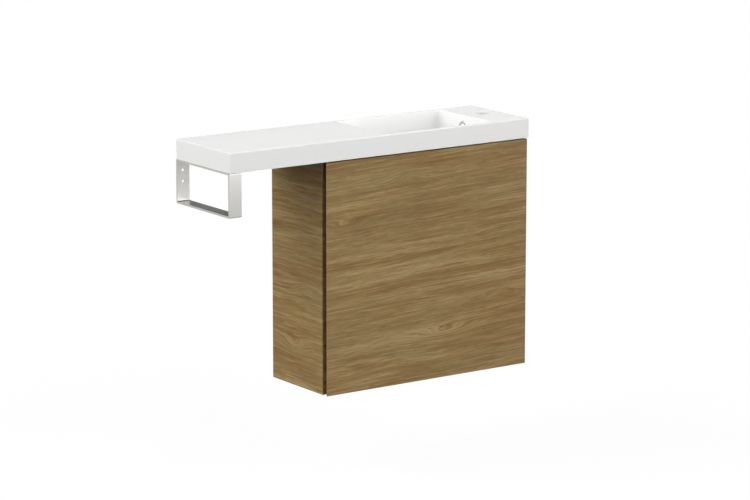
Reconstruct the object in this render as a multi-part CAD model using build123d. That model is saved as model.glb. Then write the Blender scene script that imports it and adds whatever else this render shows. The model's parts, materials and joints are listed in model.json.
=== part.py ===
from build123d import *
import os

# Wall-hung vanity unit: a slim white basin top with a shelf on its left, a cabinet with one door
# under its right part, and a towel bracket under the shelf's free end.
# Millimetres. X to the right, Y into the wall, Z up. The wall is the plane Y = 0.
# The origin is the middle of the four wall screws that the cabinet hangs on.

# Basin top
top_length = 900.0
top_depth = 250.0
top_thickness = 50.0
top_above_screws = 85.0
top_end_overhang = 2.0
top_skin = 14.0
top_wall = 12.0
top_edge_round = 3.5
top_upper_round = 3.0
top_rib = 28.0

# Bowl
ledge_length = 110.0
bowl_length = 325.0
bowl_rim = 10.0
bowl_depth = 80.0
bowl_wall = 9.0
bowl_ramp = 204.0
bowl_back_draft = 3.0
bowl_front_slope = 40.0
ramp_round = 80.0
bowl_end_round = 16.0
bowl_low_round = 5.0
section_lift = 50.0
shell_inset = 4.0
rim_round = 1.5

# Tap hole, overflow and waste places
tap_hole_radius = 17.5
tap_from_right = 53.0
tap_from_wall = 122.5
overflow_drop = 35.0
drain_from_wall = 118.0
waste_from_right_wall = 66.0

# Cabinet
cabinet_width = 618.0
cabinet_height = 591.0
panel = 16.0
door_setback = 5.0
back_thickness = 3.0
back_inset = 16.0
groove_depth = 6.0
rail_height = 48.0
rail_clear = 3.0
silicone_bead = 1.0
silicone_width = 10.0
shelf_height = 277.0
shelf_setback = 12.0
shelf_gap = 0.5
panel_edge_round = 0.8

# Door
door_thickness = 16.0
door_gap = 3.0
door_top_gap = 4.0
door_edge_round = 1.5
bevel_land = 1.0

# Door hinges
hinge_inset = 100.0
hinge_pin_radius = 1.25
hinge_pin_half_length = 9.0
hinge_pin_gap = 0.02
hinge_pin_end_gap = 0.1
pin_from_edge = 8.0
pin_depth = 9.0
cup_radius = 17.5
cup_depth = 13.0
cup_wall = 1.2
cup_floor = 1.0
cup_from_edge = 3.0
cup_flange_thickness = 1.2
cup_flange_margin = 3.5
cup_flange_width = 24.0
cup_flange_round = 5.0
cup_screw_pitch = 45.0
cup_screw_offset = 9.5
ear_thickness = 3.0
ear_half_width = 2.5
knuckle_radius = 2.6
arm_half_width = 6.0
arm_thickness = 2.5
arm_reach = 13.0
arm_body_height = 7.0
arm_body_length = 54.0
arm_body_start = 12.0
arm_body_half_width = 7.5
arm_body_round = 2.0
plate_thickness = 3.75
plate_line = 37.0
plate_length = 44.0
plate_margin = 8.0
plate_hub_half_height = 10.0
plate_hub_start = 20.0
plate_wing_half_length = 9.0
plate_wing_round = 4.0
plate_screw_pitch = 32.0

# Screws
wood_screw_radius = 2.0
wood_screw_head_radius = 3.8
wood_screw_head_height = 2.2
wood_screw_length = 14.0
cup_screw_length = 11.0
arm_screw_radius = 2.5
arm_screw_head_radius = 4.5
arm_screw_head_height = 2.5
slot_length = 4.4
slot_width = 0.9
slot_depth = 0.8
screw_tip_gap = 0.5

# Shelf pins, dowels and cam fittings
shelf_pin_radius = 2.5
shelf_pin_depth = 9.0
shelf_pin_reach = 8.0
shelf_pin_collar_radius = 4.0
shelf_pin_collar = 1.5
pin_hole_depth = 10.0
pin_row_inset = 37.0
rear_row_inset = 74.0
pin_row_pitch = 32.0
dowel_radius = 4.0
dowel_in_side = 10.0
dowel_in_panel = 20.0
dowel_chamfer = 0.6
dowel_end_gap = 0.5
cam_radius = 7.5
cam_height = 12.0
cam_inset = 24.0
cam_slot_depth = 1.5
cam_bolt_radius = 2.5
cam_bolt_head_radius = 3.5
cam_bolt_head_length = 3.0
cam_bolt_in_side = 11.0
cam_from_front = 74.0

# Door buffers
buffer_radius = 5.0
buffer_thickness = 2.7
buffer_inset = 45.0
buffer_round = 0.8

# Cabinet hangers and wall plates
hanger_thickness = 18.0
hanger_length = 58.0
hanger_height = 44.0
hanger_top_gap = 4.0
hanger_back_gap = 1.0
hanger_round = 2.0
hanger_pin_radius = 5.0
hanger_pin_length = 8.0
hanger_pin_pitch = 32.0
hanger_screw_radius = 3.0
hanger_screw_head_radius = 4.5
hanger_screw_head_height = 2.0
hanger_screw_length = 16.0
hanger_screw_pitch = 18.0
hook_thickness = 3.0
hook_height = 4.0
hook_nose = 6.0
hook_nose_thickness = 3.0
hook_wall_gap = 1.0
hook_lip_gap = 2.0
hook_heel_drop = 12.0
wall_plate_thickness = 2.5
wall_plate_width = 40.0
wall_plate_height = 43.0
wall_plate_screw_pitch = 32.0
wall_plate_hole_radius = 3.5
lip_height = 7.5
lip_offset = 4.5
lip_top = 26.0

# Towel bracket
bracket_width = 35.0
bracket_bar = 5.0
bracket_height = 111.0
bracket_front_setback = 5.0
bracket_corner = 4.0
bracket_hole_radius = 4.5
bracket_hole_drop = 29.0
bracket_hole_pitch = 28.5
bracket_screw_radius = 2.5
bracket_screw_head_radius = 4.8
bracket_screw_length = 20.0
bracket_screw_inset = 60.0
boss_radius = 10.0

# Overflow ring, elbow and hose
ring_radius = 20.5
ring_thickness = 2.5
ring_bore_radius = 9.5
ring_round = 1.2
ring_tube_radius = 11.9
ring_tube_length = 26.0
elbow_radius = 17.0
elbow_length = 24.0
elbow_end = 4.0
spout_radius = 8.0
spout_bore_radius = 6.0
hose_wall = 2.0
hose_bend_radius = 24.0
hose_grip = 11.0
hose_straight = 2.0

# Waste
waste_radius = 20.95
waste_bore_radius = 17.0
waste_length = 72.0
flange_radius = 31.5
flange_thickness = 2.5
flange_round = 1.0
waste_hole_radius = 22.5
plug_radius = 33.0
plug_thickness = 4.0
plug_round = 2.5
plug_gap = 0.4
plug_stem_radius = 4.0
plug_travel = 10.0
guide_radius = 7.0
guide_height = 16.0
guide_drop = 30.0
guide_rib = 3.0
seal_thickness = 3.0
seal_radius = 32.0
collar_radius = 34.0
collar_height = 24.0
collar_groove_radius = 29.0
collar_groove_height = 14.0
collar_bore_radius = 6.0
nut_radius = 31.0
nut_height = 12.0
window_height = 10.0
window_width = 8.0

# Trap
trap_nut_radius = 27.0
trap_nut_height = 22.0
inlet_radius = 16.0
inlet_bore_radius = 14.5
inlet_length = 96.0
inlet_collar = 3.0
trap_head_radius = 33.0
trap_head_height = 60.0
trap_head_drop = 12.0
trap_wall = 2.5
socket_drop = 3.0
trap_cup_radius = 36.0
trap_cup_height = 70.0
trap_cup_overlap = 10.0
trap_cup_round = 8.0
socket_radius = 21.0
socket_length = 26.0
outlet_radius = 16.0
outlet_bore_radius = 14.5
outlet_grip = 18.0
outlet_bead_radius = 18.0
outlet_bead = 3.0
outlet_nut_radius = 25.0
outlet_nut_length = 14.0
outlet_nut_overlap = 8.0
panel_hole_radius = 24.0

# Clearances between pieces
fit_gap = 0.05
loose_gap = 0.3
screw_hole_gap = 0.1
groove_gap = 0.1

# How far a cut runs past the face that it opens
past = 1.0

# Places worked out from the sizes
top_z = top_above_screws
under_z = top_z - top_thickness
side_x = cabinet_width / 2
inner_x = side_x - panel
top_right = side_x + top_end_overhang
top_left = top_right - top_length
top_front = -top_depth
bowl_right = top_right - ledge_length
bowl_left = bowl_right - bowl_length
floor_z = top_z - bowl_depth
shell_z = floor_z - bowl_wall
panel_top = under_z - silicone_bead
panel_bottom = panel_top - cabinet_height
door_front = top_front + door_setback
door_back = door_front + door_thickness
front_edge = door_back + door_gap
door_top = under_z - door_top_gap
shelf_z = panel_bottom + shelf_height
rail_top = lip_top - lip_height - wall_plate_height - rail_clear
back_panel_y = -back_inset - back_thickness
hinge_heights = [panel_bottom + hinge_inset, door_top - hinge_inset]
pin_x = side_x - pin_from_edge
pin_y = door_back - pin_depth
cup_x = side_x - cup_from_edge - cup_radius
cup_flange_half_height = cup_screw_pitch / 2 + cup_flange_margin
plate_half_height = plate_screw_pitch / 2 + plate_margin
plate_y = front_edge + plate_line
waste_x = bowl_right - waste_from_right_wall
drain_y = -drain_from_wall
overflow_z = top_z - overflow_drop
tap_x = top_right - tap_from_right
bracket_x = top_left + bracket_width / 2
bracket_front = top_front + bracket_front_setback
bracket_bottom = under_z - bracket_height
collar_top = shell_z - seal_thickness
collar_middle = collar_top - collar_height / 2
waste_bottom = floor_z - waste_length
head_top = waste_bottom - trap_head_drop
head_bottom = head_top - trap_head_height
outlet_z = head_top - socket_drop - socket_radius
spout_x = bowl_right + bowl_wall + elbow_length / 2
spout_end = collar_middle + hose_bend_radius + hose_straight
spigot_end = waste_x + collar_radius + hose_grip + hose_straight
socket_end = drain_y + trap_head_radius + socket_length


def block(x0, x1, y0, y1, z0, z1):
    middle = Pos((x0 + x1) / 2, (y0 + y1) / 2, (z0 + z1) / 2)
    return middle * Box(abs(x1 - x0), abs(y1 - y0), abs(z1 - z0))


def rod_z(x, y, z0, z1, radius):
    return Pos(x, y, (z0 + z1) / 2) * Cylinder(radius, abs(z1 - z0))


def rod_x(x0, x1, y, z, radius):
    return Pos((x0 + x1) / 2, y, z) * Rot(0, 90, 0) * Cylinder(radius, abs(x1 - x0))


def rod_y(x, y0, y1, z, radius):
    return Pos(x, (y0 + y1) / 2, z) * Rot(90, 0, 0) * Cylinder(radius, abs(y1 - y0))


def group(pieces):
    solids = [solid for piece in pieces for solid in piece.solids()]
    return Compound(solids)


# Profile drawn in Y and Z, given its width along X from x0 to x1
def slab_yz(points, x0, x1):
    outline = Plane.YZ * Polygon(*points, align=None)
    return Pos(x0, 0, 0) * extrude(outline, amount=x1 - x0, dir=(1, 0, 0))


# Profile drawn in X and Y, given its height along Z from z0 to z1
def slab_xy(points, z0, z1):
    outline = Polygon(*points, align=None)
    return Pos(0, 0, z0) * extrude(outline, amount=z1 - z0, dir=(0, 0, 1))


# The bowl's hollow, or its outer shell when it is grown by the wall's thickness:
# a long section with a ramp, crossed with a section that has a steep back and a sloping front.
# Both run straight on above the rim, so that the edges can be rounded all the way along.
def bowl_form(grow):
    above = top_z + section_lift
    ramp_foot = bowl_left + bowl_ramp
    ramp_lift = bowl_ramp * section_lift / bowl_depth
    long_section = Polygon(
        (bowl_left - ramp_lift, above),
        (ramp_foot, floor_z),
        (bowl_right, floor_z),
        (bowl_right, above),
        align=None,
    )
    long_section = fillet(corner_near(long_section, ramp_foot, floor_z), ramp_round)
    back_y = -bowl_rim
    front_y = top_front + bowl_rim
    back_lift = bowl_back_draft * section_lift / bowl_depth
    front_lift = bowl_front_slope * section_lift / bowl_depth
    cross_section = Polygon(
        (back_y + back_lift, above),
        (back_y - bowl_back_draft, floor_z),
        (front_y + bowl_front_slope, floor_z),
        (front_y - front_lift, above),
        align=None,
    )
    if grow > 0:
        long_section = offset(long_section, grow, kind=Kind.INTERSECTION)
        cross_section = offset(cross_section, grow, kind=Kind.INTERSECTION)
    along = extrude(Plane.XZ * long_section, amount=2 * top_depth, both=True)
    across = extrude(Plane.YZ * cross_section, amount=2 * top_length, dir=(1, 0, 0))
    form = along & Pos(bowl_left - top_length, 0, 0) * across
    form = fillet(upright_edges(form), bowl_end_round + grow)
    return fillet(low_edges(form), bowl_low_round + grow)


def corner_near(section, x, z):
    return section.vertices().sort_by_distance((x, z, 0))[0]


# The two corners of the bowl's form at its right end
def upright_edges(form):
    end = form.faces().sort_by(Axis.X)[-1]
    return [edge for edge in end.edges() if edge.bounding_box().size.Z > bowl_depth / 2]


# Edges of the bowl's form where its ramp and its floor meet the walls
def low_edges(form):
    picked = []
    for edge in form.edges():
        box = edge.bounding_box()
        upright = box.size.Z > bowl_depth / 2 and box.size.X < bowl_depth / 2
        across = box.size.X < fit_gap and edge.center().X < bowl_right - bowl_depth
        if box.min.Z < top_z and not upright and not across:
            picked.append(edge)
    return picked


def rounded_top_block():
    body = block(top_left, top_right, top_front, 0, under_z, top_z)
    upright = body.edges().filter_by(Axis.Z)
    body = fillet(upright, top_edge_round)
    upper = body.faces().sort_by(Axis.Z)[-1].edges()
    return fillet(upper, top_upper_round)


def make_washbasin_top():
    body = rounded_top_block()
    skin_z = top_z - top_skin
    pocket_front = top_front + top_wall
    rib_middle = -side_x + panel / 2
    left_pocket = block(top_left + top_wall, rib_middle - top_rib / 2, pocket_front, -top_wall,
                        under_z, skin_z)
    right_pocket = block(rib_middle + top_rib / 2, top_right - top_wall, pocket_front, -top_wall,
                         under_z, skin_z)
    body = body - left_pocket - right_pocket
    for y in bracket_screw_places():
        body = body + rod_z(bracket_x, y, under_z, skin_z, boss_radius)
    shell = bowl_form(bowl_wall)
    below = block(top_left + shell_inset, top_right - shell_inset, top_front + shell_inset, -shell_inset,
                  shell_z - bowl_wall, skin_z + top_skin / 2)
    body = body + (shell & below)
    body = body - bowl_form(0)
    body = body - rod_z(tap_x, -tap_from_wall, under_z, top_z, tap_hole_radius)
    body = body - rod_x(bowl_right - bowl_wall, bowl_right + 2 * bowl_wall, drain_y, overflow_z,
                        ring_tube_radius + loose_gap)
    body = body - rod_z(waste_x, drain_y, shell_z - bowl_wall, floor_z + bowl_wall, waste_hole_radius)
    for y in bracket_screw_places():
        body = body - rod_z(bracket_x, y, under_z, bracket_screw_tip() + loose_gap,
                            bracket_screw_radius + screw_hole_gap)
    rim = [
        edge for edge in body.edges()
        if abs(edge.center().Z - top_z) < fit_gap
        and edge.bounding_box().size.Z < fit_gap
        and bowl_left - past < edge.center().X < bowl_right + past
        and top_front + bowl_rim - past < edge.center().Y < past - bowl_rim
    ]
    return fillet(rim, rim_round)


def bracket_screw_places():
    return [bracket_front + bracket_screw_inset, -bracket_screw_inset]


def bracket_screw_tip():
    return under_z - bracket_bar + bracket_screw_length


def countersink_z(x, y, z, radius, head_radius):
    height = head_radius - radius
    return Pos(x, y, z + height / 2) * Cone(head_radius, radius, height)


def make_towel_bracket():
    outer = block(top_left, top_left + bracket_width, bracket_front, 0, bracket_bottom, under_z)
    outer = fillet(outer.edges().filter_by(Axis.X), bracket_corner)
    inner = block(top_left - past, top_left + bracket_width + past, bracket_front + bracket_bar, -bracket_bar,
                  bracket_bottom + bracket_bar, under_z - bracket_bar)
    inner = fillet(inner.edges().filter_by(Axis.X), bracket_corner / 2)
    body = outer - inner
    for row in range(2):
        z = under_z - bracket_hole_drop - row * bracket_hole_pitch
        body = body - rod_y(bracket_x, -2 * bracket_bar, bracket_bar, z, bracket_hole_radius)
    low = under_z - bracket_bar
    for y in bracket_screw_places():
        body = body - rod_z(bracket_x, y, low - past, under_z + past,
                            bracket_screw_radius + screw_hole_gap)
        body = body - countersink_z(bracket_x, y, low, bracket_screw_radius + screw_hole_gap,
                                    bracket_screw_head_radius + screw_hole_gap)
    return body


def make_bracket_screws():
    screws = []
    low = under_z - bracket_bar
    for y in bracket_screw_places():
        head = countersink_z(bracket_x, y, low, bracket_screw_radius, bracket_screw_head_radius)
        shank = rod_z(bracket_x, y, low, bracket_screw_tip(), bracket_screw_radius)
        slot = cross_slot(bracket_x, y, low, along_z)
        screws.append(head + shank - slot)
    return group(screws)


# Cross recess in a screw head, turned so that it is cut along X, Y or Z
along_x = Rot(0, 90, 0)
along_y = Rot(90, 0, 0)
along_z = Rot(0, 0, 0)


def cross_slot(x, y, z, turn, deep=slot_depth):
    cross = Box(slot_length, slot_width, 2 * deep) + Box(slot_width, slot_length, 2 * deep)
    return Pos(x, y, z) * turn * cross


# Places of the dowels that hold a side, as (y, z)
def dowel_places():
    bottom_z = panel_bottom + panel / 2
    near = front_edge + pin_row_inset
    places = [(near, bottom_z), (-rear_row_inset, bottom_z)]
    places.append((-back_inset / 2, rail_top - rail_height / 4))
    places.append((-back_inset / 2, lower_rail_top() - rail_height / 4))
    return places


def cam_places():
    bottom_z = panel_bottom + panel / 2
    return [(front_edge + cam_from_front, bottom_z), (-back_inset / 2, rail_top - 3 * rail_height / 4)]


def lower_rail_top():
    return panel_bottom + panel + rail_height


def shelf_pin_places():
    rows = [front_edge + pin_row_inset, -rear_row_inset]
    return [(y, shelf_z - shelf_pin_radius) for y in rows]


def hanger_pin_places():
    front, back, low, high = hanger_box()
    middle_y = (front + back) / 2
    middle_z = (low + high) / 2
    return [(middle_y + side * hanger_pin_pitch / 2, middle_z) for side in (-1, 1)]


def make_side_panel(hand):
    outer = hand * side_x
    inner = hand * inner_x
    body = block(outer, inner, front_edge, 0, panel_bottom, panel_top)
    body = fillet(body.edges().filter_by(Axis.Z).sort_by(Axis.Y)[:2], panel_edge_round)
    groove_front = back_panel_y - groove_gap
    groove_back = -back_inset + groove_gap
    body = body - block(inner - hand, inner + hand * groove_depth, groove_front, groove_back,
                        panel_bottom + panel - groove_depth, rail_top + groove_gap)
    for y, z in dowel_places():
        body = body - rod_x(inner, inner + hand * dowel_in_side, y, z, dowel_radius + fit_gap)
    for y, z in cam_places():
        body = body - rod_x(inner, inner + hand * cam_bolt_in_side, y, z, cam_bolt_radius + fit_gap)
    for y, z in shelf_pin_places():
        for step in (-1, 0, 1):
            level = z + step * pin_row_pitch
            body = body - rod_x(inner, inner + hand * pin_hole_depth, y, level,
                                shelf_pin_radius + fit_gap)
    for y, z in hanger_pin_places():
        body = body - rod_x(inner, inner + hand * (hanger_pin_length + screw_tip_gap), y, z,
                            hanger_pin_radius + fit_gap)
    if hand > 0:
        for y, z in plate_screw_places():
            body = body - rod_x(inner, inner + plate_screw_hole(), y, z, wood_screw_radius + fit_gap)
    return body


def plate_screw_hole():
    return wood_screw_length - plate_thickness + screw_tip_gap


def plate_screw_places():
    places = []
    for z in hinge_heights:
        places.append((plate_y, z - plate_screw_pitch / 2))
        places.append((plate_y, z + plate_screw_pitch / 2))
    return places


def make_bottom_panel():
    body = block(-inner_x, inner_x, front_edge, 0, panel_bottom, panel_bottom + panel)
    body = fillet(body.edges().filter_by(Axis.X).sort_by(Axis.Y)[:2], panel_edge_round)
    top = panel_bottom + panel
    body = body - block(-inner_x - past, inner_x + past, back_panel_y - groove_gap,
                        -back_inset + groove_gap, top - groove_depth, top + past)
    for hand in (-1, 1):
        for y, z in dowel_places()[:2]:
            body = body - rod_x(hand * inner_x, hand * (inner_x - dowel_in_panel - dowel_end_gap), y, z,
                                dowel_radius + fit_gap)
        y, z = cam_places()[0]
        body = body - cam_pocket(hand, y, z, "up")
    return body


# Room for a cam fitting and its bolt, opened towards the face that the cam is turned from
def cam_pocket(hand, y, z, side):
    x = hand * (inner_x - cam_inset)
    bolt = rod_x(hand * inner_x, x, y, z, cam_bolt_head_radius + loose_gap)
    reach = panel / 2 + past
    radius = cam_radius + fit_gap
    if side == "up":
        return bolt + rod_z(x, y, z - cam_height / 2, z + reach, radius)
    return bolt + rod_y(x, y - reach, y + cam_height / 2, z, radius)


def make_rail(rail_z, cams):
    body = block(-inner_x, inner_x, -back_inset, 0, rail_z - rail_height, rail_z)
    for hand in (-1, 1):
        places = [place for place in dowel_places() if rail_z - rail_height < place[1] < rail_z]
        for y, z in places:
            body = body - rod_x(hand * inner_x, hand * (inner_x - dowel_in_panel - dowel_end_gap), y, z,
                                dowel_radius + fit_gap)
        if cams:
            y, z = cam_places()[1]
            body = body - cam_pocket(hand, y, z, "front")
    return body


def make_back_panel():
    width = inner_x + groove_depth - groove_gap
    body = block(-width, width, back_panel_y, -back_inset,
                 panel_bottom + panel - groove_depth + groove_gap, rail_top)
    body = body - rod_y(waste_x, back_panel_y - past, past - back_inset, outlet_z, panel_hole_radius)
    for hand in (-1, 1):
        y, z = cam_places()[1]
        body = body - rod_y(hand * (inner_x - cam_inset), back_panel_y - past, past - back_inset, z,
                            cam_radius + loose_gap)
    return body


def make_shelf():
    half = inner_x - shelf_gap
    body = block(-half, half, front_edge + shelf_setback, back_panel_y - loose_gap, shelf_z,
                 shelf_z + panel)
    return fillet(body.edges().filter_by(Axis.X).sort_by(Axis.Y)[:2], panel_edge_round)


def make_shelf_pins():
    pins = []
    for hand in (-1, 1):
        inner = hand * inner_x
        for y, z in shelf_pin_places():
            shank = rod_x(inner + hand * shelf_pin_depth, inner - hand * shelf_pin_reach, y, z,
                          shelf_pin_radius)
            collar = rod_x(inner, inner - hand * shelf_pin_collar, y, z, shelf_pin_collar_radius)
            collar = collar - block(inner, inner - hand * shelf_pin_collar, y - panel, y + panel,
                                    shelf_z, shelf_z + panel)
            pins.append(shank + collar)
    return group(pins)


def make_dowels():
    dowels = []
    for hand in (-1, 1):
        for y, z in dowel_places():
            dowel = rod_x(hand * (inner_x + dowel_in_side), hand * (inner_x - dowel_in_panel), y, z,
                          dowel_radius)
            dowels.append(chamfer(dowel.edges(), dowel_chamfer))
    return group(dowels)


def make_cams():
    cams = []
    hollow = cam_bolt_head_radius + loose_gap
    for hand in (-1, 1):
        x = hand * (inner_x - cam_inset)
        y, z = cam_places()[0]
        cam = rod_z(x, y, z - cam_height / 2, z + cam_height / 2, cam_radius)
        cam = cam - rod_x(x + hand * cam_radius, x - hand * hollow, y, z, hollow)
        cams.append(cam - cross_slot(x, y, z + cam_height / 2, along_z, cam_slot_depth))
        y, z = cam_places()[1]
        cam = rod_y(x, y - cam_height / 2, y + cam_height / 2, z, cam_radius)
        cam = cam - rod_x(x + hand * cam_radius, x - hand * hollow, y, z, hollow)
        cams.append(cam - cross_slot(x, y - cam_height / 2, z, along_y, cam_slot_depth))
    return group(cams)


def make_cam_bolts():
    bolts = []
    for hand in (-1, 1):
        tip = hand * (inner_x - cam_inset - cam_bolt_head_length / 2)
        for y, z in cam_places():
            shank = rod_x(hand * (inner_x + cam_bolt_in_side - screw_tip_gap), tip, y, z, cam_bolt_radius)
            head = rod_x(tip, tip + hand * cam_bolt_head_length, y, z, cam_bolt_head_radius)
            bolts.append(shank + head)
    return group(bolts)


def make_silicone_beads():
    beads = []
    for hand in (-1, 1):
        middle = hand * (inner_x + panel / 2)
        beads.append(block(middle - silicone_width / 2, middle + silicone_width / 2,
                           front_edge + silicone_width, -silicone_width, panel_top, under_z))
    return group(beads)


def make_door():
    back_left = -side_x + door_thickness
    outline = [
        (-side_x, door_front),
        (side_x, door_front),
        (side_x, door_back),
        (back_left + bevel_land, door_back),
        (-side_x, door_front + bevel_land),
    ]
    body = slab_xy(outline, panel_bottom, door_top)
    right = body.edges().filter_by(Axis.Z).sort_by(Axis.X)[-2:]
    body = fillet(right, door_edge_round)
    for z in hinge_heights:
        body = body - rod_y(cup_x, door_back - cup_depth - fit_gap, door_back + past, z,
                            cup_radius + fit_gap)
    for x, z in cup_screw_places():
        tip = door_back + cup_flange_thickness - cup_screw_length - loose_gap
        body = body - rod_y(x, tip, door_back + past, z, wood_screw_radius + fit_gap)
    return body


def cup_screw_places():
    x = cup_x - cup_screw_offset
    return [(x, z + side * cup_screw_pitch / 2) for z in hinge_heights for side in (-1, 1)]


def make_hinge_cup(z):
    low = door_back - cup_depth
    high = door_back + cup_flange_thickness
    body = rod_y(cup_x, low, high, z, cup_radius)
    flange_left = cup_x - cup_radius / 2 - cup_flange_width / 2
    flange = block(flange_left, flange_left + cup_flange_width, door_back, high,
                   z - cup_flange_half_height, z + cup_flange_half_height)
    flange = fillet(flange.edges().filter_by(Axis.Y), cup_flange_round)
    body = body + flange
    body = body - rod_y(cup_x, low + cup_floor, high + past, z, cup_radius - cup_wall)
    ear_gap = arm_half_width + loose_gap
    for side in (-1, 1):
        ear = block(pin_x - ear_half_width, pin_x + ear_half_width, low, pin_y + ear_half_width,
                    z + side * ear_gap, z + side * (ear_gap + ear_thickness))
        body = body + (ear & rod_y(cup_x, low, high, z, cup_radius))
    pin_end = hinge_pin_half_length + hinge_pin_end_gap
    body = body - rod_z(pin_x, pin_y, z - pin_end, z + pin_end, hinge_pin_radius + hinge_pin_gap)
    for x, screw_z in cup_screw_places():
        if abs(screw_z - z) < cup_screw_pitch:
            body = body - rod_y(x, door_back - past, high + past, screw_z,
                                wood_screw_radius + screw_hole_gap)
    return body


def make_hinge_pin(z):
    return rod_z(pin_x, pin_y, z - hinge_pin_half_length, z + hinge_pin_half_length, hinge_pin_radius)


def make_cup_screws():
    screws = []
    high = door_back + cup_flange_thickness
    for x, z in cup_screw_places():
        head = rod_y(x, high, high + wood_screw_head_height / 2, z, wood_screw_head_radius)
        shank = rod_y(x, high - cup_screw_length, high, z, wood_screw_radius)
        screws.append(head + shank - cross_slot(x, high + wood_screw_head_height / 2, z, along_y))
    return group(screws)


def make_hinge_arm(z):
    half = arm_thickness / 2
    crank_x = pin_x - arm_reach
    body_y = front_edge + arm_body_start
    face = inner_x - plate_thickness
    low = z - arm_half_width
    high = z + arm_half_width
    knuckle = rod_z(pin_x, pin_y, low, high, knuckle_radius)
    finger = block(crank_x - half, pin_x, pin_y - half, pin_y + half, low, high)
    crank = block(crank_x - half, crank_x + half, pin_y - half, body_y, low, high)
    channel = block(face - arm_body_height, face, body_y, body_y + arm_body_length,
                    z - arm_body_half_width, z + arm_body_half_width)
    channel = fillet(channel.edges().filter_by(Axis.Y).sort_by(Axis.X)[:2], arm_body_round)
    neck = block(crank_x - half, face, body_y - arm_thickness, body_y, low, high)
    body = knuckle + finger + crank + channel + neck
    body = body - rod_z(pin_x, pin_y, low - past, high + past, hinge_pin_radius + fit_gap)
    return body - rod_x(face - arm_body_height - past, face + past, plate_y, z,
                        arm_screw_radius + screw_hole_gap)


def make_mounting_plate(z):
    face = inner_x - plate_thickness
    near = front_edge + plate_hub_start
    hub = block(face, inner_x, near, near + plate_length, z - plate_hub_half_height,
                z + plate_hub_half_height)
    wing = block(face, inner_x, plate_y - plate_wing_half_length, plate_y + plate_wing_half_length,
                 z - plate_half_height, z + plate_half_height)
    wing = fillet(wing.edges().filter_by(Axis.X), plate_wing_round)
    body = hub + wing
    for side in (-1, 1):
        body = body - rod_x(face - past, inner_x + past, plate_y, z + side * plate_screw_pitch / 2,
                            wood_screw_radius + screw_hole_gap)
    return body - rod_x(face - past, inner_x + past, plate_y, z, arm_screw_radius + fit_gap)


def make_plate_screws():
    screws = []
    face = inner_x - plate_thickness
    for y, z in plate_screw_places():
        head = rod_x(face - wood_screw_head_height, face, y, z, wood_screw_head_radius)
        shank = rod_x(face, face + wood_screw_length, y, z, wood_screw_radius)
        screws.append(head + shank - cross_slot(face - wood_screw_head_height, y, z, along_x))
    return group(screws)


def make_arm_screws():
    screws = []
    face = inner_x - plate_thickness - arm_body_height
    for z in hinge_heights:
        head = rod_x(face - arm_screw_head_height, face, plate_y, z, arm_screw_head_radius)
        shank = rod_x(face, inner_x - loose_gap, plate_y, z, arm_screw_radius)
        screws.append(head + shank - cross_slot(face - arm_screw_head_height, plate_y, z, along_x))
    return group(screws)


def make_door_buffers():
    buffers = []
    for x in (buffer_inset - inner_x, inner_x - buffer_inset):
        buffer = rod_y(x, front_edge - buffer_thickness, front_edge, panel_bottom + panel / 2, buffer_radius)
        rim = buffer.edges().sort_by(Axis.Y)[0]
        buffers.append(fillet(rim, buffer_round))
    return group(buffers)


def hanger_box():
    back = back_panel_y - hanger_back_gap
    high = panel_top - hanger_top_gap
    return back - hanger_length, back, high - hanger_height, high


def hanger_screw_places():
    front, back, low, high = hanger_box()
    middle = (low + high) / 2
    return [(front, middle + side * hanger_screw_pitch / 2) for side in (-1, 1)]


def make_hanger(hand):
    front, back, low, high = hanger_box()
    inner = hand * inner_x
    body = block(inner, inner - hand * hanger_thickness, front, back, low, high)
    body = fillet(body.edges().filter_by(Axis.Z).sort_by(Axis.Y)[:2], hanger_round)
    middle = inner - hand * hanger_thickness / 2
    slot = hook_thickness / 2 + groove_gap
    body = body - block(middle - slot, middle + slot, back - hanger_length / 2 - groove_gap, back + past,
                        lip_top - hook_heel_drop - groove_gap, high + past)
    for y, z in hanger_pin_places():
        body = body + rod_x(inner, inner + hand * hanger_pin_length, y, z, hanger_pin_radius)
    for y, z in hanger_screw_places():
        body = body - rod_y(middle, y - past, y + hanger_screw_length + past, z,
                            hanger_screw_radius + fit_gap)
    return body


# Steel blade that reaches from the hanger over the wall plate's lip and down behind it
def make_hook(hand):
    front, back, low, high = hanger_box()
    middle = hand * (inner_x - hanger_thickness / 2)
    heel = lip_top - hook_heel_drop
    nose_back = -hook_wall_gap
    nose_front = nose_back - hook_nose_thickness
    front_drop = -lip_offset - wall_plate_thickness - hook_lip_gap
    outline = [
        (back - hanger_length / 2, heel),
        (back - hanger_length / 2, lip_top + hook_height),
        (nose_back, lip_top + hook_height),
        (nose_back, lip_top - hook_nose),
        (nose_front, lip_top - hook_nose),
        (nose_front, lip_top),
        (front_drop, lip_top),
        (front_drop, heel),
    ]
    return slab_yz(outline, middle - hook_thickness / 2, middle + hook_thickness / 2)


def make_hanger_screws():
    screws = []
    for hand in (-1, 1):
        middle = hand * (inner_x - hanger_thickness / 2)
        for y, z in hanger_screw_places():
            head = rod_y(middle, y - hanger_screw_head_height, y, z, hanger_screw_head_radius)
            shank = rod_y(middle, y, y + hanger_screw_length, z, hanger_screw_radius)
            screws.append(head + shank - cross_slot(middle, y - hanger_screw_head_height, z, along_y))
    return group(screws)


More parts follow.
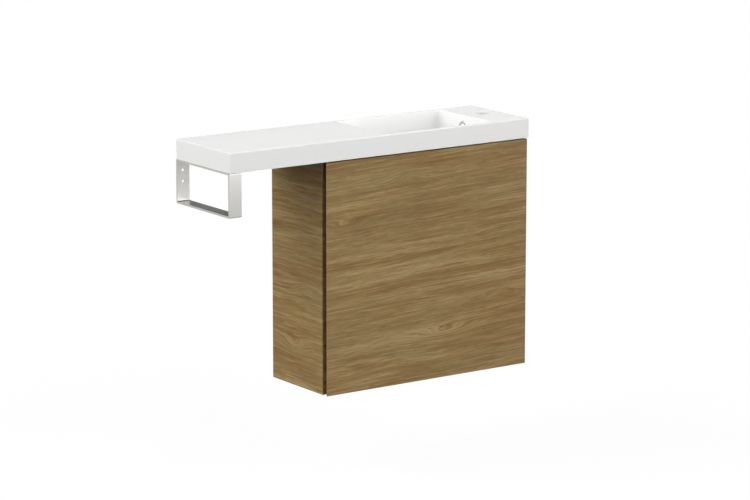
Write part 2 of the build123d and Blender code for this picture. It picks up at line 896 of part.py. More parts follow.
def make_wall_plate(hand):
    middle = hand * (inner_x - hanger_thickness / 2)
    base_top = lip_top - lip_height
    lip_front = -lip_offset - wall_plate_thickness
    outline = [
        (0, base_top - wall_plate_height),
        (0, base_top),
        (-lip_offset, base_top),
        (-lip_offset, lip_top),
        (lip_front, lip_top),
        (lip_front, base_top - wall_plate_thickness),
        (-wall_plate_thickness, base_top - wall_plate_thickness),
        (-wall_plate_thickness, base_top - wall_plate_height),
    ]
    inner = hand * inner_x
    edge = inner - hand * wall_plate_width
    body = slab_yz(outline, min(inner, edge), max(inner, edge))
    for side in (-1, 1):
        body = body - rod_y(middle, -2 * wall_plate_thickness, past, side * wall_plate_screw_pitch / 2,
                            wall_plate_hole_radius)
    return body


def make_overflow_ring():
    disc = rod_x(bowl_right - ring_thickness, bowl_right, drain_y, overflow_z, ring_radius)
    disc = fillet(disc.edges().sort_by(Axis.X)[0], ring_round)
    tube = rod_x(bowl_right, bowl_right + ring_tube_length, drain_y, overflow_z, ring_tube_radius)
    bore = rod_x(bowl_right - 2 * ring_thickness, bowl_right + 2 * ring_tube_length, drain_y, overflow_z,
                 ring_bore_radius)
    return disc + tube - bore


def make_overflow_elbow():
    face = bowl_right + bowl_wall
    body = rod_x(face, face + elbow_length, drain_y, overflow_z, elbow_radius)
    spout = rod_z(spout_x, drain_y, spout_end, overflow_z, spout_radius)
    body = body + spout
    body = body - rod_x(face - past, face + elbow_length - elbow_end, drain_y, overflow_z,
                        ring_tube_radius + fit_gap)
    return body - rod_z(spout_x, drain_y, spout_end - past, overflow_z, spout_bore_radius)


def make_overflow_hose():
    path = FilletPolyline(
        (spout_x, drain_y, spout_end + hose_grip),
        (spout_x, drain_y, collar_middle),
        (spigot_end - hose_grip, drain_y, collar_middle),
        radius=hose_bend_radius,
    )
    ring = Plane(origin=path @ 0, z_dir=path % 0)
    outer = ring * Circle(spout_radius + fit_gap + hose_wall)
    inner = ring * Circle(spout_radius + fit_gap)
    return sweep(outer - inner, path=path)


def make_overflow_collar():
    body = rod_z(waste_x, drain_y, collar_top - collar_height, collar_top, collar_radius)
    body = body + rod_x(waste_x, spigot_end, drain_y, collar_middle, spout_radius)
    body = body - rod_z(waste_x, drain_y, collar_top - collar_height, collar_top,
                        waste_radius + screw_hole_gap)
    body = body - rod_z(waste_x, drain_y, collar_middle - collar_groove_height / 2,
                        collar_middle + collar_groove_height / 2, collar_groove_radius)
    return body - rod_x(waste_x, spigot_end + past, drain_y, collar_middle, collar_bore_radius)


def ring_z(z0, z1, outer, inner):
    return rod_z(waste_x, drain_y, z0, z1, outer) - rod_z(waste_x, drain_y, z0 - past, z1 + past, inner)


def make_waste_seals():
    upper = ring_z(collar_top, shell_z, seal_radius, waste_radius + screw_hole_gap)
    low = collar_top - collar_height
    lower = ring_z(low - seal_thickness, low, seal_radius, waste_radius + screw_hole_gap)
    return group([upper, lower])


def make_waste_nut():
    high = collar_top - collar_height - seal_thickness
    hexagon = Pos(waste_x, drain_y, high - nut_height) * extrude(RegularPolygon(nut_radius, 6), nut_height)
    return hexagon - rod_z(waste_x, drain_y, high - nut_height - past, high + past,
                           waste_radius + fit_gap)


def make_waste_body():
    flange = rod_z(waste_x, drain_y, floor_z, floor_z + flange_thickness, flange_radius)
    flange = fillet(flange.edges().sort_by(Axis.Z)[-1], flange_round)
    tube = rod_z(waste_x, drain_y, waste_bottom, floor_z, waste_radius)
    body = flange + tube
    body = body - rod_z(waste_x, drain_y, waste_bottom - past, floor_z + 2 * flange_thickness,
                        waste_bore_radius)
    guide_top = floor_z - guide_drop
    guide_low = guide_top - guide_height
    guide = rod_z(waste_x, drain_y, guide_low, guide_top, guide_radius)
    for turn in range(3):
        rib = Box(waste_bore_radius + past, guide_rib, guide_height)
        rib = Pos((waste_bore_radius + past) / 2, 0, 0) * rib
        guide = guide + Pos(waste_x, drain_y, (guide_low + guide_top) / 2) * Rot(0, 0, 120 * turn) * rib
    body = body + guide
    body = body - rod_z(waste_x, drain_y, guide_low - past, guide_top + past, plug_stem_radius + fit_gap)
    for turn in range(2):
        window = Box(3 * waste_radius, window_width, window_height)
        body = body - Pos(waste_x, drain_y, collar_middle) * Rot(0, 0, 45 + 90 * turn) * window
    return body


def make_waste_plug():
    low = floor_z + flange_thickness + plug_gap
    cap = rod_z(waste_x, drain_y, low, low + plug_thickness, plug_radius)
    cap = fillet(cap.edges().sort_by(Axis.Z)[-1], plug_round)
    stem_end = floor_z - guide_drop - guide_height - plug_travel
    return cap + rod_z(waste_x, drain_y, stem_end, low, plug_stem_radius)


def make_trap_nut():
    grip = trap_nut_height / 2
    body = rod_z(waste_x, drain_y, waste_bottom - grip, waste_bottom + grip, trap_nut_radius)
    body = body - rod_z(waste_x, drain_y, waste_bottom - inlet_collar - fit_gap, waste_bottom + grip + past,
                        waste_radius + fit_gap)
    return body - rod_z(waste_x, drain_y, waste_bottom - grip - past, waste_bottom,
                        inlet_radius + fit_gap)


def make_trap_inlet():
    tube = ring_z(waste_bottom - inlet_length, waste_bottom, inlet_radius, inlet_bore_radius)
    collar = ring_z(waste_bottom - inlet_collar, waste_bottom, waste_radius - fit_gap, inlet_bore_radius)
    return tube + collar


def make_trap_head():
    body = rod_z(waste_x, drain_y, head_bottom, head_top, trap_head_radius)
    body = body + rod_y(waste_x, drain_y, socket_end, outlet_z, socket_radius)
    cavity = rod_z(waste_x, drain_y, head_bottom - past, head_top - trap_wall,
                   trap_head_radius - trap_wall)
    body = body - cavity
    body = body - rod_z(waste_x, drain_y, head_bottom, head_top + past, inlet_radius + fit_gap)
    return body - rod_y(waste_x, drain_y, socket_end + past, outlet_z, outlet_radius + fit_gap)


def make_trap_cup():
    high = head_bottom + trap_cup_overlap
    low = high - trap_cup_height
    body = rod_z(waste_x, drain_y, low, high, trap_cup_radius)
    body = fillet(body.edges().sort_by(Axis.Z)[0], trap_cup_round)
    body = body - rod_z(waste_x, drain_y, head_bottom, high + past, trap_head_radius + fit_gap)
    return body - rod_z(waste_x, drain_y, low + trap_wall, high, trap_head_radius - trap_wall)


def make_outlet_pipe():
    start = socket_end - outlet_grip
    outer = rod_y(waste_x, start, 0, outlet_z, outlet_radius)
    outer = outer + rod_y(waste_x, -back_inset - outlet_bead, -back_inset, outlet_z, outlet_bead_radius)
    return outer - rod_y(waste_x, start - past, past, outlet_z, outlet_bore_radius)


def make_outlet_nut():
    start = socket_end - outlet_nut_overlap
    end = start + outlet_nut_length
    body = rod_y(waste_x, start, end, outlet_z, outlet_nut_radius)
    body = body - rod_y(waste_x, start - past, socket_end + fit_gap, outlet_z, socket_radius + fit_gap)
    return body - rod_y(waste_x, start, end + past, outlet_z, outlet_radius + fit_gap)


parts = {
    "washbasin_top": make_washbasin_top(),
    "overflow_ring": make_overflow_ring(),
    "overflow_elbow": make_overflow_elbow(),
    "overflow_hose": make_overflow_hose(),
    "overflow_collar": make_overflow_collar(),
    "waste_body": make_waste_body(),
    "waste_plug": make_waste_plug(),
    "waste_seals": make_waste_seals(),
    "waste_nut": make_waste_nut(),
    "trap_nut": make_trap_nut(),
    "trap_inlet": make_trap_inlet(),
    "trap_head": make_trap_head(),
    "trap_cup": make_trap_cup(),
    "trap_outlet_pipe": make_outlet_pipe(),
    "trap_outlet_nut": make_outlet_nut(),
    "towel_bracket": make_towel_bracket(),
    "bracket_screws": make_bracket_screws(),
    "side_panel_left": make_side_panel(-1),
    "side_panel_right": make_side_panel(1),
    "bottom_panel": make_bottom_panel(),
    "back_panel": make_back_panel(),
    "rear_rail_upper": make_rail(rail_top, True),
    "rear_rail_lower": make_rail(lower_rail_top(), False),
    "inner_shelf": make_shelf(),
    "shelf_pins": make_shelf_pins(),
    "dowels": make_dowels(),
    "cam_fittings": make_cams(),
    "cam_bolts": make_cam_bolts(),
    "silicone_beads": make_silicone_beads(),
    "door": make_door(),
    "door_buffers": make_door_buffers(),
    "cup_screws": make_cup_screws(),
    "plate_screws": make_plate_screws(),
    "arm_screws": make_arm_screws(),
    "hanger_screws": make_hanger_screws(),
}
for level, height in zip(("lower", "upper"), hinge_heights):
    parts["hinge_cup_" + level] = make_hinge_cup(height)
    parts["hinge_pin_" + level] = make_hinge_pin(height)
    parts["hinge_arm_" + level] = make_hinge_arm(height)
    parts["mounting_plate_" + level] = make_mounting_plate(height)
for name, hand in (("left", -1), ("right", 1)):
    parts["hanger_" + name] = make_hanger(hand)
    parts["hanger_hook_" + name] = make_hook(hand)
    parts["wall_plate_" + name] = make_wall_plate(hand)

os.makedirs("parts", exist_ok=True)
for name, shape in parts.items():
    export_step(shape, "parts/" + name + ".step")
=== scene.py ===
# %% [markdown]
# A wall-hung vanity unit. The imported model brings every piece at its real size, each riding on the
# body that it moves with. This file gives those pieces their finishes, adds the small details that a
# maker's drawing leaves out, and sets up a plain studio with a camera where the photographer stood.

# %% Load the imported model
import json
import math

import bpy
import bmesh
from mathutils import Matrix, Vector


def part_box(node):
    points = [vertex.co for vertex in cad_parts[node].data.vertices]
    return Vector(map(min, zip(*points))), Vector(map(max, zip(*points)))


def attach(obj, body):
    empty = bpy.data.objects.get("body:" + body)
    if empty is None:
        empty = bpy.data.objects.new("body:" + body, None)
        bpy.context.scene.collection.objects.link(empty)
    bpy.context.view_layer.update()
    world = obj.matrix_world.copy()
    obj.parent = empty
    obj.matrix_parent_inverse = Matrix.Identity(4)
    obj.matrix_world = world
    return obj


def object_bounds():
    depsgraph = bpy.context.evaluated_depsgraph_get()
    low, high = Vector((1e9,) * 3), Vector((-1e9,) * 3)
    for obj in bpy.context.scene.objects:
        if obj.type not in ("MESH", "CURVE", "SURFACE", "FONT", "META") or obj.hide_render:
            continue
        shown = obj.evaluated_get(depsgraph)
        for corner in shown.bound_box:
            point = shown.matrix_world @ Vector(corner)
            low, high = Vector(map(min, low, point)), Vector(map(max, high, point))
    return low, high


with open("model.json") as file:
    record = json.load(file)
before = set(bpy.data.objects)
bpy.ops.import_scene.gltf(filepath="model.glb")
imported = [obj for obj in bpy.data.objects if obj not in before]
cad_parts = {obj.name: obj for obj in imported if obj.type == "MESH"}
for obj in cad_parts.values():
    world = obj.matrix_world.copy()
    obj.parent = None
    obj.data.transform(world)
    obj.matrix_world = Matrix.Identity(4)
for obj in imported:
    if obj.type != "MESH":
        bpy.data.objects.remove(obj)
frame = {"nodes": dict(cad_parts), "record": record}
cad_low, cad_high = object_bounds()
nodes = frame["nodes"]
print("pieces in the frame:", len(nodes))
print("size in mm:", [round(1000 * (high - low)) for low, high in zip(cad_low, cad_high)])

# %% [markdown]
# The photographer stood to the left of the unit and a little above it, a good way off, with a long
# lens. A long lens keeps upright edges upright, so it flatters furniture. The camera is placed in the
# same metres as the unit: the origin is the middle of the four wall screws.

# %% Camera
CAMERA_PLACE = Vector((-4.6336, -6.6972, 1.4381))
CAMERA_LOOK = Vector((0.55742, 0.80463, -0.20460))
CAMERA_LENS = 154.9
CAMERA_SENSOR = 36.0
CAMERA_FAR = 200.0


def add_camera():
    camera_data = bpy.data.cameras.new("camera")
    camera_data.lens = CAMERA_LENS
    camera_data.sensor_width = CAMERA_SENSOR
    camera_data.clip_end = CAMERA_FAR
    camera = bpy.data.objects.new("camera", camera_data)
    camera.location = CAMERA_PLACE
    camera.rotation_euler = CAMERA_LOOK.to_track_quat("-Z", "Y").to_euler()
    bpy.context.scene.collection.objects.link(camera)
    bpy.context.scene.camera = camera


add_camera()
print("camera distance in m:", round((CAMERA_PLACE - (cad_low + cad_high) / 2).length, 2))

# %% [markdown]
# Colours are written as they look on a screen, in hex. Blender's shaders work in linear light, so
# one function turns a hex value into linear numbers. The others add a shader node, give its inputs
# a value or a link, and start a material, which keeps each finish short enough to read at a glance.


# %% Helpers for materials
def linear(hex_colour):
    channels = []
    for start in (1, 3, 5):
        value = int(hex_colour[start:start + 2], 16) / 255
        channels.append(value / 12.92 if value <= 0.04045 else ((value + 0.055) / 1.055) ** 2.4)
    return (*channels, 1.0)


def feed(tree, socket, value):
    if isinstance(value, bpy.types.NodeSocket):
        tree.links.new(value, socket)
    else:
        socket.default_value = value


def add_node(tree, kind, settings=None, inputs=None):
    node = tree.nodes.new(kind)
    for name, value in (settings or {}).items():
        setattr(node, name, value)
    for name, value in (inputs or {}).items():
        feed(tree, node.inputs[name], value)
    return node


def empty_tree(owner):
    owner.use_nodes = True
    owner.node_tree.nodes.clear()
    return owner.node_tree


def new_material(name):
    material = bpy.data.materials.new(name)
    tree = empty_tree(material)
    shader = add_node(tree, "ShaderNodeBsdfPrincipled")
    add_node(tree, "ShaderNodeOutputMaterial", inputs={"Surface": shader.outputs["BSDF"]})
    return material, tree, shader


def join(tree, output, shader, name):
    tree.links.new(output, shader.inputs[name])


# %% [markdown]
# Elm-look laminate: a printed paper under a hard, slightly textured melamine skin, on chipboard. The
# print shows long wavy grain lines, broad lighter and darker bands, thin dark pores, and here and
# there a cathedral where the saw met a branch. All of it comes from one idea. Each point gets a
# height across the grain, that height is bent by slow noise and by a few bumps, and stripes are drawn
# along lines of equal height, so every line flows round the same cathedrals.

# %% Wood laminate
WOOD_DARK = linear("#745a36")
WOOD_MID = linear("#856d46")
WOOD_LIGHT = linear("#97825b")
WOOD_RED = linear("#7a5a37")
WOOD_OLIVE = linear("#7f6d48")
WOOD_PORE = linear("#644a29")
BAND_SIZE = (0.55, 0.024)
STREAK_SIZE = (0.20, 0.0055)
LINE_SIZE = (0.085, 0.0034)
FIBRE_SIZE = (0.026, 0.0022)
PORE_SIZE = (0.050, 0.0019)
TINT_SIZE = (0.40, 0.060)
SLOW_BEND = (0.50, 0.22)
SLOW_BEND_HEIGHT = 0.020
QUICK_BEND = (0.13, 0.07)
QUICK_BEND_HEIGHT = 0.005
NOISE_ROUGHNESS = 0.55
BLACK = (0, 0, 0, 1)
WHITE = (1, 1, 1, 1)
BAND_STOPS = [(0.32, WOOD_DARK), (0.50, WOOD_MID), (0.70, WOOD_LIGHT)]
OLIVE_STOPS = [(0.45, BLACK), (0.65, WHITE)]
OLIVE_SHARE = 0.60
RED_STOPS = [(0.37, WHITE), (0.46, BLACK)]
RED_SHARE = 0.75
PALE_STOPS = [(0.55, BLACK), (0.65, WHITE)]
PALE_SHARE = 0.60
PORE_STOPS = [(0.33, WHITE), (0.41, BLACK)]
PORE_SHARE = 0.55
LINE_SHADE = 0.85
FIBRE_SHADE = 0.75
LAMINATE_GLOSS = 0.12
LAMINATE_ROUGHNESS = 0.48
LAMINATE_UNEVEN = 0.14
FIBRE_RELIEF = 0.25
FIBRE_DEPTH = 0.00008
HARD_SKIN_IOR = 1.5
MIX_FIRST_COLOUR = 6
MIX_SECOND_COLOUR = 7
MIX_RESULT_COLOUR = 2


def stretched_noise(tree, along, across, depth, size, detail, seed):
    length, width = size
    place = add_node(tree, "ShaderNodeCombineXYZ", inputs={"X": along, "Y": across, "Z": depth})
    stretch = add_node(tree, "ShaderNodeMapping", inputs={
        "Vector": place.outputs["Vector"],
        "Location": (seed * 1.7, seed * 3.1, seed * 2.3),
        "Scale": (1 / length, 1 / width, 1 / width),
    })
    noise = add_node(tree, "ShaderNodeTexNoise", inputs={
        "Vector": stretch.outputs["Vector"], "Scale": 1.0, "Detail": detail,
        "Roughness": NOISE_ROUGHNESS,
    })
    return noise.outputs["Fac"]


def maths(tree, operation, first, second=0.0, third=0.0):
    node = tree.nodes.new("ShaderNodeMath")
    node.operation = operation
    for socket, value in zip(node.inputs, (first, second, third)):
        feed(tree, socket, value)
    return node.outputs["Value"]


def ramp(tree, factor, stops):
    node = add_node(tree, "ShaderNodeValToRGB", inputs={"Fac": factor})
    elements = node.color_ramp.elements
    for _ in range(len(stops) - 2):
        elements.new(0.5)
    for element, (place, colour) in zip(elements, stops):
        element.position = place
        element.color = colour
    return node.outputs["Color"]


def mix_colours(tree, factor, first, second):
    node = add_node(tree, "ShaderNodeMix", {"data_type": "RGBA"})
    feed(tree, node.inputs["Factor"], factor)
    feed(tree, node.inputs[MIX_FIRST_COLOUR], first)
    feed(tree, node.inputs[MIX_SECOND_COLOUR], second)
    return node.outputs[MIX_RESULT_COLOUR]


def lay_over(tree, base, noise, stops, share, colour):
    mask = ramp(tree, noise, stops)
    return mix_colours(tree, maths(tree, "MULTIPLY", mask, share), base, colour)


def swing_round_one(tree, noise, amount):
    return maths(tree, "MULTIPLY_ADD", noise, amount, 1 - amount / 2)


def cathedral(tree, along, across, centre, size, lift):
    step_along = maths(tree, "MULTIPLY_ADD", along, 1 / size[0], -centre[0] / size[0])
    step_across = maths(tree, "MULTIPLY_ADD", across, 1 / size[1], -centre[1] / size[1])
    square_along = maths(tree, "POWER", step_along, 2.0)
    squares = maths(tree, "ADD", square_along, maths(tree, "POWER", step_across, 2.0))
    bump = maths(tree, "EXPONENT", maths(tree, "MULTIPLY", squares, -1.0))
    return maths(tree, "MULTIPLY", bump, lift)


def make_wood(name, along_axis, across_axis, depth_axis, slope, cathedrals, seed):
    material, tree, shader = new_material(name)
    place = add_node(tree, "ShaderNodeTexCoord").outputs["Object"]
    axes = add_node(tree, "ShaderNodeSeparateXYZ", inputs={"Vector": place})
    along = axes.outputs[along_axis]
    depth = axes.outputs[depth_axis]
    across = maths(tree, "MULTIPLY_ADD", along, -slope, axes.outputs[across_axis])
    slow = stretched_noise(tree, along, across, depth, SLOW_BEND, 2.0, seed + 1)
    quick = stretched_noise(tree, along, across, depth, QUICK_BEND, 2.0, seed + 2)
    height = maths(tree, "MULTIPLY_ADD", slow, SLOW_BEND_HEIGHT, across)
    height = maths(tree, "MULTIPLY_ADD", quick, QUICK_BEND_HEIGHT, height)
    for centre, size, lift in cathedrals:
        height = maths(tree, "ADD", height, cathedral(tree, along, across, centre, size, lift))
    bands = stretched_noise(tree, along, height, depth, BAND_SIZE, 3.0, seed + 3)
    streaks = stretched_noise(tree, along, height, depth, STREAK_SIZE, 4.0, seed + 4)
    lines = stretched_noise(tree, along, height, depth, LINE_SIZE, 4.0, seed + 5)
    fibres = stretched_noise(tree, along, height, depth, FIBRE_SIZE, 3.0, seed + 6)
    tint = stretched_noise(tree, along, height, depth, TINT_SIZE, 2.0, seed + 7)
    pores = stretched_noise(tree, along, height, depth, PORE_SIZE, 2.0, seed + 8)
    base = ramp(tree, bands, BAND_STOPS)
    base = lay_over(tree, base, tint, OLIVE_STOPS, OLIVE_SHARE, WOOD_OLIVE)
    base = lay_over(tree, base, streaks, RED_STOPS, RED_SHARE, WOOD_RED)
    base = lay_over(tree, base, streaks, PALE_STOPS, PALE_SHARE, WOOD_LIGHT)
    base = lay_over(tree, base, pores, PORE_STOPS, PORE_SHARE, WOOD_PORE)
    line_shade = swing_round_one(tree, lines, LINE_SHADE)
    shade = maths(tree, "MULTIPLY", line_shade, swing_round_one(tree, fibres, FIBRE_SHADE))
    base = add_node(tree, "ShaderNodeVectorMath", {"operation": "SCALE"}, {0: base, "Scale": shade})
    join(tree, base.outputs["Vector"], shader, "Base Color")
    roughness = maths(tree, "MULTIPLY_ADD", fibres, LAMINATE_UNEVEN, LAMINATE_ROUGHNESS)
    join(tree, roughness, shader, "Roughness")
    bump = add_node(tree, "ShaderNodeBump", inputs={
        "Height": fibres, "Strength": FIBRE_RELIEF, "Distance": FIBRE_DEPTH,
    })
    join(tree, bump.outputs["Normal"], shader, "Normal")
    shader.inputs["IOR"].default_value = HARD_SKIN_IOR
    shader.inputs["Specular IOR Level"].default_value = LAMINATE_GLOSS
    return material


DOOR_CATHEDRALS = [
    ((-0.255, -0.120), (0.050, 0.012), 0.016),
    ((-0.05, -0.020), (0.07, 0.014), -0.014),
    ((0.05, -0.440), (0.08, 0.014), 0.018),
    ((0.23, -0.360), (0.07, 0.014), -0.014),
]
SIDE_CATHEDRALS = [
    ((-0.10, -0.455), (0.05, 0.020), 0.022),
    ((-0.16, -0.300), (0.06, 0.016), -0.014),
]
front_wood = make_wood("elm_laminate_front", "X", "Z", "Y", 0.040, DOOR_CATHEDRALS, 8)
side_wood = make_wood("elm_laminate_side", "Y", "Z", "X", 0.0, SIDE_CATHEDRALS, 21)
carcass_wood = make_wood("elm_laminate_inside", "X", "Y", "Z", 0.0, [], 34)
print("wood finishes:", front_wood.name, side_wood.name, carcass_wood.name)

# %% [markdown]
# The top is mineral cast: stone dust in resin, poured in a mould and finished with a white gel coat.
# The gel coat is glossy but never optically flat, so a very shallow, slow bump bends its reflections.

# %% Mineral cast
GEL_COAT_WHITE = linear("#dcdcdb")
GEL_COAT_GLOSS = 0.20
GEL_COAT_ROUGHNESS = 0.16
GEL_COAT_UNEVEN = 0.10
RIPPLE_SCALE = 45.0
RIPPLE_RELIEF = 0.15
RIPPLE_DEPTH = 0.0003
CLOUD_SCALE = 9.0


def make_cast():
    material, tree, shader = new_material("mineral_cast_gel_coat")
    place = add_node(tree, "ShaderNodeTexCoord").outputs["Object"]
    ripple = add_node(tree, "ShaderNodeTexNoise", inputs={
        "Vector": place, "Scale": RIPPLE_SCALE, "Detail": 1.0,
    })
    bump = add_node(tree, "ShaderNodeBump", inputs={
        "Height": ripple.outputs["Fac"], "Strength": RIPPLE_RELIEF, "Distance": RIPPLE_DEPTH,
    })
    cloud = add_node(tree, "ShaderNodeTexNoise", inputs={
        "Vector": place, "Scale": CLOUD_SCALE, "Detail": 3.0,
    })
    roughness = maths(tree, "MULTIPLY_ADD", cloud.outputs["Fac"], GEL_COAT_UNEVEN, GEL_COAT_ROUGHNESS)
    join(tree, roughness, shader, "Roughness")
    join(tree, bump.outputs["Normal"], shader, "Normal")
    shader.inputs["Base Color"].default_value = GEL_COAT_WHITE
    shader.inputs["IOR"].default_value = HARD_SKIN_IOR
    shader.inputs["Specular IOR Level"].default_value = GEL_COAT_GLOSS
    return material


cast_white = make_cast()
print("gel coat white:", [round(value, 3) for value in GEL_COAT_WHITE[:3]])

# %% [markdown]
# Metals. The towel bracket is flat stainless bar with a satin, brushed face: the brushing leaves
# fine scratches across the bar that widen its reflections. The overflow ring and the waste are
# polished chrome over brass. Hinges are nickel on steel, screws and plates are zinc plated.

# %% Metals
SCRATCH_RELIEF = 0.12
SCRATCH_DEPTH = 0.00005
SCRATCH_ROUGHNESS = 0.6


def make_metal(name, colour, roughness, spread, grain):
    material, tree, shader = new_material(name)
    place = add_node(tree, "ShaderNodeTexCoord").outputs["Object"]
    stretch = add_node(tree, "ShaderNodeMapping", inputs={"Vector": place, "Scale": grain})
    scratches = add_node(tree, "ShaderNodeTexNoise", inputs={
        "Vector": stretch.outputs["Vector"], "Scale": 1.0, "Detail": 3.0,
        "Roughness": SCRATCH_ROUGHNESS,
    })
    uneven = maths(tree, "MULTIPLY_ADD", scratches.outputs["Fac"], spread, roughness - spread / 2)
    join(tree, uneven, shader, "Roughness")
    bump = add_node(tree, "ShaderNodeBump", inputs={
        "Height": scratches.outputs["Fac"], "Strength": SCRATCH_RELIEF, "Distance": SCRATCH_DEPTH,
    })
    join(tree, bump.outputs["Normal"], shader, "Normal")
    shader.inputs["Base Color"].default_value = linear(colour)
    shader.inputs["Metallic"].default_value = 1.0
    return material


satin_steel = make_metal("stainless_brushed", "#b4b3b0", 0.30, 0.10, (4000.0, 60.0, 60.0))
chrome = make_metal("chrome_polished", "#d2d3d5", 0.06, 0.03, (30.0, 30.0, 30.0))
nickel = make_metal("nickel_plated_steel", "#bdbbb6", 0.28, 0.12, (400.0, 400.0, 60.0))
zinc = make_metal("zinc_plated_steel", "#b4b8bb", 0.36, 0.20, (160.0, 160.0, 160.0))
print("metals:", satin_steel.name, chrome.name, nickel.name, zinc.name)

# %% [markdown]
# Plastics, rubber and the plain wood of the dowels. Moulded plastic has a faint, even grain from the
# mould, so a fine noise drives both its roughness and a tiny bump.

# %% Plastics, rubber, board and beech
MOULD_UNEVEN = 0.12
MOULD_RELIEF = 0.3
PLASTIC_IOR = 1.49


def make_moulded(name, colour, roughness, grain_mm, depth_mm, transmission=0.0):
    material, tree, shader = new_material(name)
    place = add_node(tree, "ShaderNodeTexCoord").outputs["Object"]
    grain = add_node(tree, "ShaderNodeTexNoise", inputs={
        "Vector": place, "Scale": 1000.0 / grain_mm, "Detail": 2.0,
    })
    uneven = maths(tree, "MULTIPLY_ADD", grain.outputs["Fac"], MOULD_UNEVEN, roughness)
    join(tree, uneven, shader, "Roughness")
    bump = add_node(tree, "ShaderNodeBump", inputs={
        "Height": grain.outputs["Fac"], "Strength": MOULD_RELIEF, "Distance": depth_mm / 1000,
    })
    join(tree, bump.outputs["Normal"], shader, "Normal")
    shader.inputs["Base Color"].default_value = linear(colour)
    shader.inputs["Transmission Weight"].default_value = transmission
    shader.inputs["IOR"].default_value = PLASTIC_IOR
    return material


white_plastic = make_moulded("polypropylene_white", "#e9e9e6", 0.26, 2.0, 0.02)
grey_plastic = make_moulded("polypropylene_grey", "#8d9093", 0.42, 1.5, 0.03)
black_rubber = make_moulded("rubber_black", "#1d1d1e", 0.62, 1.0, 0.04)
silicone = make_moulded("silicone_clear", "#dcdcd8", 0.30, 4.0, 0.02, 0.35)
back_board = make_moulded("hardboard_white_faced", "#d8d3c8", 0.50, 1.2, 0.03)
beech = make_wood("beech_turned", "X", "Y", "Z", 0.0, [], 55)
print("moulded finishes: 5")

# %% [markdown]
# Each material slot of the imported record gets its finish. Carcass boards whose length runs along the
# wall are given the laminate with its grain along the wall, the sides keep the grain front to back.

# %% Give each node its finish
FINISHES = {
    "white_top": cast_white,
    "front_wood": front_wood,
    "side_wood": side_wood,
    "back_board": back_board,
    "bracket_metal": satin_steel,
    "chrome": chrome,
    "hinge_steel": nickel,
    "zinc_steel": zinc,
    "white_plastic": white_plastic,
    "grey_plastic": grey_plastic,
    "seal_rubber": black_rubber,
    "clear_silicone": silicone,
    "beech": beech,
}
BOARDS_ALONG_WALL = ("bottom_panel", "rear_rail_upper", "rear_rail_lower", "inner_shelf")


def set_finish(piece, material):
    piece.data.materials.clear()
    piece.data.materials.append(material)


for subpart in frame["record"]["subparts"]:
    name = subpart["node"]
    finish = carcass_wood if name in BOARDS_ALONG_WALL else FINISHES[subpart["material_slot"]]
    set_finish(nodes[name], finish)

# %% [markdown]
# Small parts that a drawing leaves out are grown with Geometry Nodes. One function starts a tree with
# named sizes, one ends it with real geometry and a finish, and one runs it and gives back a plain
# mesh. The first use is a skin that joins each drawn piece's loose triangles and shades its round
# parts smoothly, while edges sharper than thirty degrees stay crisp.


# %% Geometry Nodes helpers
def start_tree(name, sizes):
    tree = bpy.data.node_groups.new(name, "GeometryNodeTree")
    tree.is_modifier = True
    tree.interface.new_socket("Geometry", in_out="INPUT", socket_type="NodeSocketGeometry")
    for label, value in sizes.items():
        kind = "NodeSocketInt" if isinstance(value, int) else "NodeSocketFloat"
        socket = tree.interface.new_socket(label, in_out="INPUT", socket_type=kind)
        socket.default_value = value
    tree.interface.new_socket("Material", in_out="INPUT", socket_type="NodeSocketMaterial")
    tree.interface.new_socket("Geometry", in_out="OUTPUT", socket_type="NodeSocketGeometry")
    return tree, tree.nodes.new("NodeGroupInput").outputs


def end_tree(tree, given, geometry):
    whole = add_node(tree, "GeometryNodeRealizeInstances", inputs={"Geometry": geometry})
    painted = add_node(tree, "GeometryNodeSetMaterial", inputs={
        "Geometry": whole.outputs["Geometry"], "Material": given["Material"],
    })
    add_node(tree, "NodeGroupOutput", inputs={"Geometry": painted.outputs["Geometry"]})
    return tree


def grow(tree, material, **sizes):
    host = bpy.data.objects.new("host", bpy.data.meshes.new("host"))
    bpy.context.scene.collection.objects.link(host)
    modifier = host.modifiers.new("grow", "NODES")
    modifier.node_group = tree
    wanted = {label.replace("_", " ").capitalize(): value for label, value in sizes.items()}
    wanted["Material"] = material
    for item in tree.interface.items_tree:
        if item.in_out == "INPUT" and item.name in wanted:
            modifier[item.identifier] = wanted[item.name]
    graph = bpy.context.evaluated_depsgraph_get()
    mesh = bpy.data.meshes.new_from_object(host.evaluated_get(graph))
    bpy.data.objects.remove(host)
    return mesh


def add_piece(name, placed_meshes, body, material):
    whole = bmesh.new()
    for mesh, place in placed_meshes:
        mesh.transform(place)
        whole.from_mesh(mesh)
    bmesh.ops.recalc_face_normals(whole, faces=whole.faces)
    joined = bpy.data.meshes.new(name)
    whole.to_mesh(joined)
    whole.free()
    joined.materials.append(material)
    piece = bpy.data.objects.new(name, joined)
    bpy.context.scene.collection.objects.link(piece)
    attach(piece, body)
    return piece


def middle_of(low, high):
    return (Vector(low) + Vector(high)) / 2


# %% Smooth skin on the drawn pieces
MERGE_DISTANCE = 0.000002
CRISP_ANGLE = math.radians(30)
ROUND_NODES = (
    "washbasin_top", "towel_bracket", "overflow_ring", "overflow_elbow", "overflow_hose",
    "overflow_collar", "waste_body", "waste_plug", "waste_nut", "waste_seals", "trap_nut",
    "trap_inlet", "trap_head", "trap_cup", "trap_outlet_pipe", "trap_outlet_nut",
    "hanger_left", "hanger_right", "hinge_cup_lower", "hinge_cup_upper", "hinge_arm_lower",
    "hinge_arm_upper", "door_buffers", "door",
)


